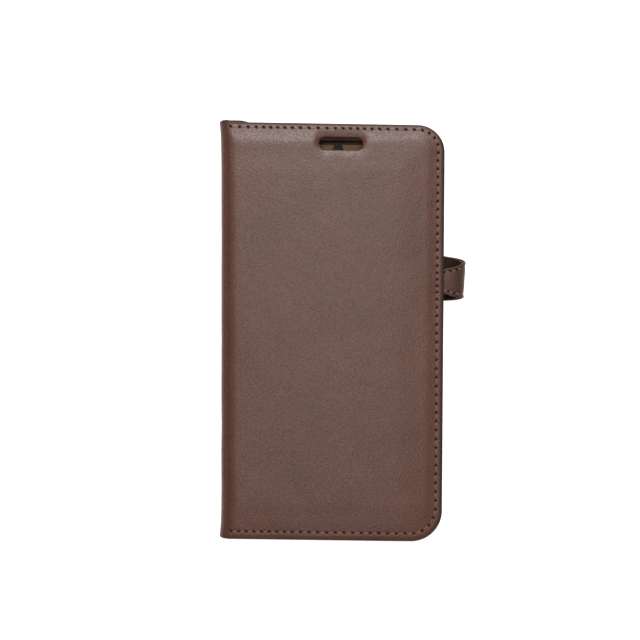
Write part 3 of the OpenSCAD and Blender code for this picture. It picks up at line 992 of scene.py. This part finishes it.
def fold_blend(piece, flip):
    z0, z1 = (0, FOLD_R) if flip else (THICK, THICK - FOLD_R)
    bodies = ("back_cover", "spine") if flip else ("spine", "front_cover")
    start, end = (FOLD_START * MM, 0, z0 * MM), (FOLD_END * MM, 0, z1 * MM)
    if not flip:
        start, end = end, start
    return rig.blend(piece, *bodies, start=start, end=end)


front = Cover(11, SLOT, wrap_front)
back = Cover(23, CAMERA_WINDOW, wrap_back, anchor_holes())
front_skin = dress(front.skin("front_cover_leather"), COVER, None, ["front_leather"], "cover_leather")
back_skin = dress(back.skin("back_cover_leather"), COVER, None, ["back_leather", "spine_leather"],
                  "cover_leather")
fold_blend(front_skin, False)
fold_blend(back_skin, True)


# ---------- linings ----------

LINING_INSET = 0.55
PEEK_X = (-29.5, -37.0)  # from here to here, along the front's top edge, the lining comes into sight
PEEK = 0.8  # and shows this far past the covers' nominal edge


def lining_bottom(u, y):
    """The lining's inner face: it sinks a little along the seam and wrinkles where it folds."""
    d = edge_distance(u, y)
    spine = spine_weight(u)
    h = -INNER - 0.03 * ripple(u, y, 18, 5) + 0.12 * bump(d, seam_inset(y), 0.5) * (1 - spine)
    h = h + 0.3 * hole_field(u, y) - 0.10 * ripple(u * 3, y, 24, 8) * spine
    return h


def lining_shade(flat):
    # painted shade in the needle holes
    return 0.9 * hole_field(*flat.T[:2]) * (flat[:, 2] < -EDGE_T - 0.1)


def lining_skin(name, hole, wrap):
    band = [d - LINING_INSET for d in reversed(FINE_BAND)]
    outline = cover_outline()
    u, y = outline[0].T
    peek = smooth(*PEEK_X, u) * smooth(FOLD_X - 5, FOLD_X - 3, u) * (y > 0) * (hole is SLOT)
    inset = LINING_INSET * (1 - peek) + (fold_reach(u) - PEEK) * peek
    rows = rounded_rows(inner_face, lining_bottom, 0.25, 0.3, [1.4], band, start=inset)
    cut = dict(hole, lip=0.9, depth=0.3)
    solid = sheet(outline, rows, cover_grid(cut, False), cover_grid(cut, True), hole,
                  lip_rows(cut, inner_face, lining_bottom, under=0.25), left=MID)
    return make(name, solid, wrap, shade=lining_shade)


front_lining = dress(lining_skin("front_cover_lining", SLOT, wrap_front), LINING, None,
                     ["front_lining"], "lining_leather")
back_lining = dress(lining_skin("back_cover_lining", CAMERA_WINDOW, wrap_back), LINING, None,
                    ["back_lining", "spine_lining"], "lining_leather")
fold_blend(front_lining, False)
fold_blend(back_lining, True)


# ---------- the covers' seams ----------

seam_pairs = pairs_of(HOLES)
anchor_pairs = pairs_of(anchor_holes()[0])
seam_piece("front_seam", [thread_run(seam_pairs, front.plain, wrap_front)], "front_cover",
           ["front_stitching"])
seam_piece("back_seam", [thread_run(seam_pairs, back.plain, wrap_back)], "back_cover", ["back_stitching"])
seam_piece("strap_anchor_seam", [thread_run(anchor_pairs, back.plain, wrap_back)], "back_cover",
           ["strap_anchor_stitching"])


# ---------- phone tray ----------

TRAY_LOW, TRAY_HIGH = node_box("phone_tray")
PAD_LOW, PAD_HIGH = node_box("tray_pad")
TRAY = rounded_box(*area_of(TRAY_LOW, TRAY_HIGH), 10.3)
TRAY_BASE, TRAY_FLOOR, TRAY_TOP = TRAY_LOW[2], PAD_LOW[2], TRAY_HIGH[2]
WALL = 1.3  # how thick the tray's wall is
FILLET = 0.7  # between the wall and the floor
LIP = 0.8  # the wall's top reaches this far over the phone
SILL = TRAY_FLOOR + 2


def notched(points):
    """How far the tray's wall is cut down for a notch: 0 at full height, 1 at the sill."""
    x, y = points.T
    ramp = 2.0
    total = np.zeros(len(points))
    for name, on_wall, along in (("left", x < TRAY["x"] - 30, y), ("right", x > TRAY["x"] + 30, y),
                                 ("bottom", y < -70, x)):
        low, high = opening(f"tray_notch_{name}")
        axis = 0 if name == "bottom" else 1
        rise = smooth(low[axis], low[axis] + ramp, along) * smooth(high[axis], high[axis] - ramp, along)
        total += on_wall * rise
    return total


def tray_solid():
    outline = box_outline(TRAY, 0.5)
    cut = notched(outline[0])
    wall_top = TRAY_TOP + (SILL - TRAY_TOP) * cut
    lip = LIP * (1 - cut)
    rows = [(inset, TRAY_FLOOR) for inset in (4.5, 3.2, 2.4)]
    for a in np.radians((20, 45, 70, 90)):
        rows.append((WALL + FILLET * (1 - math.sin(a)), TRAY_FLOOR + FILLET * (1 - math.cos(a))))
    rows.append((WALL, (TRAY_FLOOR + FILLET + wall_top - 1.1) / 2))
    rows.append((WALL, wall_top - 1.1))
    # The lip's rounded profile, then over the wall's top and down outside, then round the foot.
    for out, down in ((0.0, 0.85), (0.25, 0.72), (0.7, 0.62), (0.94, 0.48), (1.0, 0.3), (0.92, 0.12),
                      (0.7, 0.02), (0.4, 0.0)):
        rows.append((WALL + lip * out, wall_top - down))
    for inset, down in ((1.1, 0.0), (0.6, 0.0), (0.35, 0.05), (0.15, 0.18), (0.03, 0.38), (0.0, 0.6)):
        rows.append((inset, wall_top - down))
    rows.append((0.0, (TRAY_BASE + 0.5 + wall_top - 0.6) / 2))
    for inset, up in ((0.0, 0.5), (0.08, 0.22), (0.3, 0.04), (0.6, 0.0), (2.0, 0.0)):
        rows.append((inset, TRAY_BASE + up))
    hole = dict(CAMERA_WINDOW, lip=0.4, depth=0.4)
    points = within(grid(*area_of(TRAY_LOW, TRAY_HIGH), 6.0), outline, 6.0, hole, 3.0)
    return sheet(outline, rows, points, points, hole,
                 lip_rows(hole, flat_at(TRAY_FLOOR), flat_at(TRAY_BASE), under=0.3))


def pad_top(u, y):
    """The microfibre lies nearly flat, a little proud of its edges and puckered here and there."""
    edge = np.minimum(1.2, hole_distance(CAMERA_WINDOW, u, y)) - 1.2
    return PAD_HIGH[2] + 0.03 * ripple(u, y, 14, 41) + 0.015 * ripple(u, y, 4, 42) + 0.08 * edge


def pad_solid():
    box = rounded_box(PAD_LOW[0], PAD_HIGH[0], PAD_LOW[1], PAD_HIGH[1] - 0.8, 8.5)
    outline = box_outline(box, 1.0)
    hole = grown(CAMERA_WINDOW, 1, lip=0.6, depth=0.15)
    bottom = flat_at(PAD_LOW[2])
    rows = rounded_rows(pad_top, bottom, 0.2, 0.1, [2.6, 1.8, 1.0, 0.5], [1.0])
    area = area_of(PAD_LOW, PAD_HIGH)
    fine = within(grid(*area, 1.6), outline, 3.4, hole, 1.6)
    coarse = within(grid(*area, 8.0), outline, 3.0, hole, 3.0)
    return sheet(outline, rows, fine, coarse, hole, lip_rows(hole, pad_top, bottom, under=0.1))


dress(make("tray", tray_solid(), wrap_plain), MOULDING, "back_cover", ["phone_tray"], "tray_plastic")
dress(make("tray_microfibre", pad_solid(), wrap_plain), PAD, "back_cover", ["tray_pad"], "pad_fabric")


# ---------- pockets inside the front cover ----------

NOTE_LOW, NOTE_HIGH = node_box("note_pocket")
NOTE_T = NOTE_HIGH[2] - NOTE_LOW[2]


def pocket_outline(step=0.27):
    """The note pocket: square at its top, following the cover's corner at the bottom."""
    x0, x1, y0, y1 = area_of(NOTE_LOW, NOTE_HIGH)
    r, corner = 1.0, BOTTOM_R - (RIGHT - x1)
    return join(
        line((x0 + r, y1), (x1 - r, y1), (0, -1), step), arc(x1 - r, y1 - r, r, 90, 0, step),
        line((x1, y1 - r), (x1, y0 + corner), (-1, 0), step),
        arc(x1 - corner, y0 + corner, corner, 0, -90, step),
        line((x1 - corner, y0), (x0 + r, y0), (0, 1), step), arc(x0 + r, y0 + r, r, -90, -180, step),
        line((x0, y0 + r), (x0, y1 - r), (1, 0), step), arc(x0 + r, y1 - r, r, 180, 90, step),
    )


def note_gape(u, y):
    """The note pocket's free edge, towards the spine, stands a little open."""
    return 0.30 * np.exp(-(u - NOTE_LOW[0]) / 6) * smooth(TOP, 40, np.abs(y))


def note_face(u, y):
    h = NOTE_T + note_gape(u, y) - 0.12 * bump(u - NOTE_LOW[0], 2.0, 0.35) + 0.03 * ripple(u, y, 20, 51)
    return h - 0.10 * bump(edge_distance(u, y), seam_inset(y), 0.5) - 0.4 * hole_field(u, y)


def note_back(u, y):
    return 0.02 + note_gape(u, y)


def note_shade(flat):
    u, y, h = flat.T
    # painted shade in the needle holes
    return 0.9 * hole_field(u, y) * (h > 0.3)


def note_solid():
    outline = pocket_outline()
    band = [4.0, 3.4, 3.0, 2.7, 2.4, 2.2, 2.05, 1.9, 1.7, 1.5, 1.2, 0.8, 0.5]
    rows = rounded_rows(note_face, note_back, 0.35, 0.2, band, [1.0, 3.0])
    points = within(grid(*area_of(NOTE_LOW, NOTE_HIGH), 2.2), outline, 4.8)
    return sheet(outline, rows, points, points)


CARD_NODES = ("card_pocket_top", "card_pocket_middle", "card_pocket_bottom")
CARD_T = 0.7
CARD_STEP, CARD_LAP = 16, 8  # from mouth to mouth, and how far a strip reaches over the one below
CARD_RIM = 2.0
CARD_SEAM = 1.0


class Strip:
    """One card pocket's strip of leather, lying over the strips and the note pocket under it."""

    def __init__(self, level):
        self.node, self.seed = CARD_NODES[level], 61 + level
        low, high = node_box(self.node)
        self.area = self.x0, self.x1, self.foot, self.mouth = area_of(low, high)
        self.box = rounded_box(*self.area, 0.9)
        self.base = NOTE_T + level * CARD_T
        self.lowest = level == len(CARD_NODES) - 1
        self.runs = self.seams()
        heading = [np.tile((r[1] - r[0]) / math.dist(r[0], r[1]), (len(r), 1)) for r in self.runs]
        self.holes = np.vstack(self.runs), np.vstack(heading)

    def seams(self):
        """Runs of needle holes down both sides, and along the foot of the lowest strip."""
        end = self.foot if self.lowest else self.mouth - CARD_STEP
        ends = [((x, self.mouth - 1), (x, end + 1)) for x in (self.x0 + CARD_SEAM, self.x1 - CARD_SEAM)]
        if self.lowest:
            y = self.foot + CARD_SEAM
            ends.append(((self.x0 + CARD_SEAM, y), (self.x1 - CARD_SEAM, y)))
        return [np.linspace(a, b, round(math.dist(a, b) / PITCH) + 1) for a, b in ends]

    def gape(self, u, y):
        """The mouth stands a little open between its seams."""
        side = np.minimum(u - self.x0, self.x1 - u)
        return 0.32 * np.exp(-np.maximum(self.mouth - y, 0) / 5) * smooth(0, 14, side)

    def plain(self, u, y):
        side = np.minimum(u - self.x0, self.x1 - u)
        h = self.base + CARD_T + self.gape(u, y) + 0.03 * ripple(u, y, 16, self.seed)
        h = h - 0.14 * bump(self.mouth - y, 2.2, 0.35) - 0.10 * bump(side, CARD_SEAM, 0.45)
        return h - 0.10 * self.lowest * bump(y - self.foot, CARD_SEAM, 0.45)

    def face(self, u, y):
        return self.plain(u, y) - 0.35 * hole_field(u, y, *self.holes, 0.8)

    def underside(self, u, y):
        return self.base + 0.02 + self.gape(u, y)

    def shade(self, flat):
        u, y, h = flat.T
        # painted shade in the needle holes
        return 0.9 * hole_field(u, y, *self.holes, 0.8) * (h > self.base + 0.3)

    def solid(self):
        outline = box_outline(self.box, 0.35)
        x, y = outline[0].T
        # At the sides a rim reaches down to the note pocket, except where another strip lies between.
        lies_on = smooth(self.mouth - CARD_LAP - 0.8, self.mouth - CARD_LAP, y)
        rim = NOTE_T + 0.02 + (self.base - NOTE_T) * lies_on + self.gape(x, y)
        band = (4.5, 3.4, 2.8, 2.4, 2.15, 1.9, 1.6, 1.3, 1.1, 0.9, 0.7, 0.5)
        rows = [(inset, self.face) for inset in band]
        rows += over_edge(self.face, 0.35, 0.35, 18)
        rows += [(0.0, rim + 0.12), (0.1, rim), (CARD_RIM - 0.1, rim), (CARD_RIM + 0.05, self.underside)]
        points = within(grid(*self.area, 1.6), outline, 5.2)
        return sheet(outline, rows, points, points)


def lining_face(u, y):
    return -INNER - lining_bottom(u, y) + 0.3 * hole_field(u, y)


def inner_pairs():
    """The covers' stitches seen inside the front cover: on the note pocket, and beside it."""
    on, off = [], []
    for a, b in seam_pairs:
        clear_of_mouth = min(a[0], b[0]) - NOTE_LOW[0], NOTE_HIGH[1] - max(a[1], b[1])
        if min(clear_of_mouth) > 1:
            on.append((a, b))
        elif max(a[0], b[0]) < NOTE_LOW[0] - 1 or min(a[1], b[1]) > NOTE_HIGH[1] + 1:
            off.append((a, b))
    return on, off


dress(make("note_pocket_leather", note_solid(), wrap_pockets, shade=note_shade), POCKET, "front_cover",
      ["note_pocket"], "pocket_leather")
strips = [Strip(level) for level in range(len(CARD_NODES))]
for strip in strips:
    dress(make(f"{strip.node}_leather", strip.solid(), wrap_pockets, shade=strip.shade), POCKET,
          "front_cover", [strip.node], "pocket_leather")
on_pocket, on_lining = inner_pairs()
threads = [thread_run(pairs_of(run), strip.plain, wrap_pockets, gap=0.4)
           for strip in strips for run in strip.runs]
seam_piece("pocket_seams", threads, "front_cover", ["pocket_stitching"])
seam_piece("front_inner_seam", [
    thread_run(on_pocket, lambda u, y: note_face(u, y) + 0.4 * hole_field(u, y), wrap_pockets),
    thread_run(on_lining, lining_face, wrap_pockets),
], "front_cover", ["front_inner_stitching"])


# ---------- strap ----------

ARM_LOW, ARM_HIGH = node_box("strap_arm_leather")
TIP_LOW, TIP_HIGH = node_box("strap_tip_leather")
MAGNET_LOW, MAGNET_HIGH = node_box("strap_magnet")
STRAP_SKIN = 0.9  # each of the strap's two leathers
ARM_X = joint_at("strap_root_bend")[0]
ARM_R = ARM_HIGH[0] - STRAP_SKIN - ARM_X
BEND_Z = joint_at("strap_mid_bend")[2]
STRAP_Z = BEND_Z - ARM_R
TIP_R = TIP_HIGH[2] - STRAP_SKIN - BEND_Z
Y_ROOT = (ARM_LOW[1] + ARM_HIGH[1]) / 2
Y_TIP = (MAGNET_LOW[1] + MAGNET_HIGH[1]) / 2
HALF_ROOT, HALF_BEND, HALF_TIP = 9.4, 7.5, 4.75  # half widths at the root, the bend and the tongue
ROOT_RUN = 0.7  # the strap starts this far inside the cover's edge
TIP_START = ROOT_RUN + math.pi / 2 * ARM_R
TONGUE_START = TIP_START + math.pi / 2 * TIP_R
TONGUE_END = TONGUE_START + ARM_X + ARM_R - TIP_R - TIP_LOW[0]
ROUND_END = TONGUE_END - HALF_TIP  # centre of the tongue's round end
TUCK = TONGUE_START + ARM_X + ARM_R - TIP_R - RIGHT  # where the tongue passes under the front cover's edge
STRAP_SEAM = 1.35
STRAP_PITCH = 2.45
STRAP_GAP = 0.02  # between each leather and the strap's middle
STRAP_SKEW = 0.06  # the outer bend leans further out towards its upper edge
STRAP_CUT = ROOT_RUN + math.radians(38) * ARM_R  # where the arm's pieces meet the tip's


def strap_place(s):
    """The strap's middle line, by distance from its root: x, z and the outward direction."""
    arm = np.clip((s - ROOT_RUN) / ARM_R, 0, math.pi / 2)
    tip = np.clip((s - TIP_START) / TIP_R, 0, math.pi / 2)
    before, past = np.minimum(s - ROOT_RUN, 0), np.maximum(s - TONGUE_START, 0)
    x = ARM_X + before + ARM_R * np.sin(arm) - TIP_R * (1 - np.cos(tip)) - past
    z = STRAP_Z + ARM_R * (1 - np.cos(arm)) + TIP_R * np.sin(tip)
    return x, z, np.sin(arm + tip), -np.cos(arm + tip)


def wrap_strap(s, y, h):
    x, z, out_x, out_z = strap_place(s)
    skew = STRAP_SKEW * (y - Y_ROOT - 6) * np.maximum(out_x, 0) ** 2
    return np.stack([x + skew + h * out_x, y, z + h * out_z], 1)


def strap_edges(s):
    """The strap's middle and half width. It tapers from the root, through its width at the bend, to
    the cover's edge, and its middle dips a little where the tongue starts."""
    along = np.clip(s / TUCK, 0, 1)
    bend = TIP_START / TUCK
    curve = (HALF_BEND - HALF_ROOT - (HALF_TIP - HALF_ROOT) * bend) / (bend * (bend - 1))
    half = HALF_ROOT + (HALF_TIP - HALF_ROOT) * along + curve * along * (along - 1)
    middle = Y_ROOT + (Y_TIP - Y_ROOT) * along - 0.3 * (1 - along) - 0.6 * bump(s, TONGUE_START - 1, 4)
    return middle, half


def strap_outline(inset=0.0, step=0.27):
    """Along the strap's upper edge, round its end and back, open at the root."""
    s = np.linspace(0, ROUND_END, round(ROUND_END / step), endpoint=False)
    middle, half = strap_edges(s)
    end, _ = arc(ROUND_END, Y_TIP, HALF_TIP, 90, -90, step)
    base = np.vstack([np.stack([s, middle + half], 1), end, np.stack([s, middle - half], 1)[::-1]])
    ahead = np.gradient(base, axis=0)
    ahead /= np.linalg.norm(ahead, axis=1)[:, None]
    inward = np.stack([ahead[:, 1], -ahead[:, 0]], 1)
    inward[0], inward[-1] = (0, -1), (0, 1)
    return base + inward * inset, inward


def strap_depth(s, y):
    """Distance inside the strap's edge."""
    middle, half = strap_edges(s)
    return np.where(s > ROUND_END, HALF_TIP - np.hypot(s - ROUND_END, y - Y_TIP), half - np.abs(y - middle))


strap_base, strap_inward = strap_outline(step=0.05)
from_root = strap_base[:, 0] > 1.0
STRAP_HOLES = needle_holes((strap_base[from_root], strap_inward[from_root]), STRAP_SEAM, STRAP_PITCH)


def strap_plain(s, y):
    d = strap_depth(s, y)
    h = STRAP_SKIN + 0.26 * bump(d, 0.6, 0.45) - 0.12 * bump(d, STRAP_SEAM, 0.5)
    return h + 0.08 * smooth(1.8, 4.0, d) + 0.05 * ripple(s, y, 9, 71) + 0.015 * ripple(s, y, 3, 72)


def strap_top(s, y):
    return strap_plain(s, y) - 0.55 * hole_field(s, y, *STRAP_HOLES, 0.85)


def strap_shade(flat):
    s, y, h = flat.T
    # painted shade on the strap's edges, over its outer bend, which turns away from the light, and in the needle holes
    rim = 0.25 * (1 - smooth(0.0, 0.4, strap_depth(s, y))) * (h < 0.5) + 0.4 * bump(s, TONGUE_START - 2, 3)
    return np.clip(hole_field(s, y, *STRAP_HOLES, 0.9) * (h > 0.2) + rim, 0, 1)


def strap_solid(inset, rows):
    outline = strap_outline(inset)
    points = within(grid(0.6, TONGUE_END, ARM_LOW[1], ARM_HIGH[1], 0.7), outline, 3.4)
    return sheet(outline, rows, points, points, left=0.0)


def lining_inside(s, y):
    return -STRAP_SKIN + 0.02 * ripple(s, y, 8, 73) + 0.06 * bump(strap_depth(s, y), STRAP_SEAM, 0.5)


def strap_blend(piece, arm):
    """The arm's pieces turn at the strap's root; the tip's pieces turn at its outer bend."""
    if arm:
        start, end = (ARM_X - 0.5, Y_ROOT, STRAP_Z), (ARM_X + 3.1, Y_ROOT, STRAP_Z)
        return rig.blend(piece, "back_cover", "strap_arm", start=tuple(v * MM for v in start),
                        end=tuple(v * MM for v in end))
    start, end = (ARM_X + ARM_R, Y_ROOT, BEND_Z - 4.6), (ARM_X + ARM_R, Y_ROOT, BEND_Z + 3.4)
    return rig.blend(piece, "strap_arm", "strap_tip", start=tuple(v * MM for v in start),
                    end=tuple(v * MM for v in end))


def strap_pieces():
    band = [3.0, 2.6, 2.3, 2.1, 1.9, 1.75, 1.6, 1.45, 1.3, 1.15, 1.0, 0.85, 0.7, 0.55]
    outer = strap_solid(0.0, rounded_rows(strap_top, flat_at(STRAP_GAP), 0.45, 0.3, band, [1.0]))
    band = [0.5, 0.8, 1.1, 1.5, 2.2]
    inner = strap_solid(0.4, rounded_rows(flat_at(-STRAP_GAP), lining_inside, 0.2, 0.35, [1.0], band))
    for kind, solid, material, slot, shade in (
            ("leather", outer, STRAP, "strap_leather", strap_shade),
            ("lining", inner, STRAP_LINING, "strap_lining_leather", None)):
        for name, half in zip(("arm", "tip"), halves(solid, STRAP_CUT)):
            side = "outside" if kind == "leather" else "inside"
            piece = make(f"strap_{name}_{side}", half, wrap_strap, shade=shade)
            strap_blend(dress(piece, material, None, [f"strap_{name}_{kind}"], slot), name == "arm")


def strap_seams():
    pairs = pairs_of(STRAP_HOLES[0])
    for name, chosen in (("arm", [p for p in pairs if max(p[0][0], p[1][0]) < STRAP_CUT]),
                         ("tip", [p for p in pairs if max(p[0][0], p[1][0]) >= STRAP_CUT])):
        run = thread_run(chosen, strap_plain, wrap_strap, radius=0.24, lift=0.12, gap=0.42, slant=0.12)
        piece = seam_piece(f"strap_{name}_seam", [run], None, [f"strap_{name}_stitching"])
        strap_blend(piece, name == "arm")


strap_pieces()
strap_seams()


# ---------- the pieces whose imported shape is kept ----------

def refinish(node, material):
    """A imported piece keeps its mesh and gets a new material."""
    for slot in frame["nodes"][node].material_slots:
        slot.material = material


for kept, finish in (("back_board", BOARD), ("front_board", BOARD), ("tray_adhesive", FILM),
                     ("blank_label", LABEL), ("strap_root", ROOT), ("strap_magnet", STEEL),
                     ("closing_magnet", STEEL), ("pocket_backing", BACKING)):
    refinish(kept, finish)


# ---------- floor and light ----------

def stage_material():
    n = Nodes("pale floor")
    where = n.place()
    colour = n.mix(n.noise(where, 300, 2), (0.86, 0.86, 0.86), (0.90, 0.90, 0.90))
    shader = n.shader
    n.tree.links.new(colour, shader.inputs["Base Color"])
    shader.inputs["Roughness"].default_value = 0.9
    shader.inputs["Emission Color"].default_value = (1, 1, 1, 1)
    shader.inputs["Emission Strength"].default_value = 0.85
    return n.material


def floor():
    half, below = 3.0, -0.0004
    mesh = bpy.data.meshes.new("floor")
    mesh.from_pydata([(-half, -half, below), (half, -half, below), (half, half, below),
                      (-half, half, below)], [], [(0, 1, 2, 3)])
    mesh.materials.append(stage_material())
    stage = bpy.data.objects.new("floor", mesh)
    bpy.context.scene.collection.objects.link(stage)
    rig.stage(stage)


def softbox(name, place, size, radiance):
    """A light of the given width and height, in metres, that faces the case."""
    data = bpy.data.lights.new(name, "AREA")
    data.shape = "RECTANGLE"
    data.size, data.size_y = size
    data.energy = radiance * math.pi * size[0] * size[1]
    light = bpy.data.objects.new(name, data)
    light.location = place
    light.rotation_euler = (-Vector(place)).to_track_quat("-Z", "Y").to_euler()
    bpy.context.scene.collection.objects.link(light)


floor()
softbox("top", (0.0, 0.57, 0.88), (0.42, 0.38), 11.6)
softbox("overhead", (0.0, 0.02, 1.15), (0.42, 0.80), 2.7)
world = bpy.data.worlds.new("studio")
world.use_nodes = True
world.node_tree.nodes["Background"].inputs["Color"].default_value = (1, 1, 1, 1)
world.node_tree.nodes["Background"].inputs["Strength"].default_value = 0.10
bpy.context.scene.world = world
bpy.context.scene.view_settings.view_transform = "Standard"

visual_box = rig.bounds()
json.dump({"cad": [list(c) for c in cad_box], "visual": [list(c) for c in visual_box]},
          open("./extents.json", "w"))
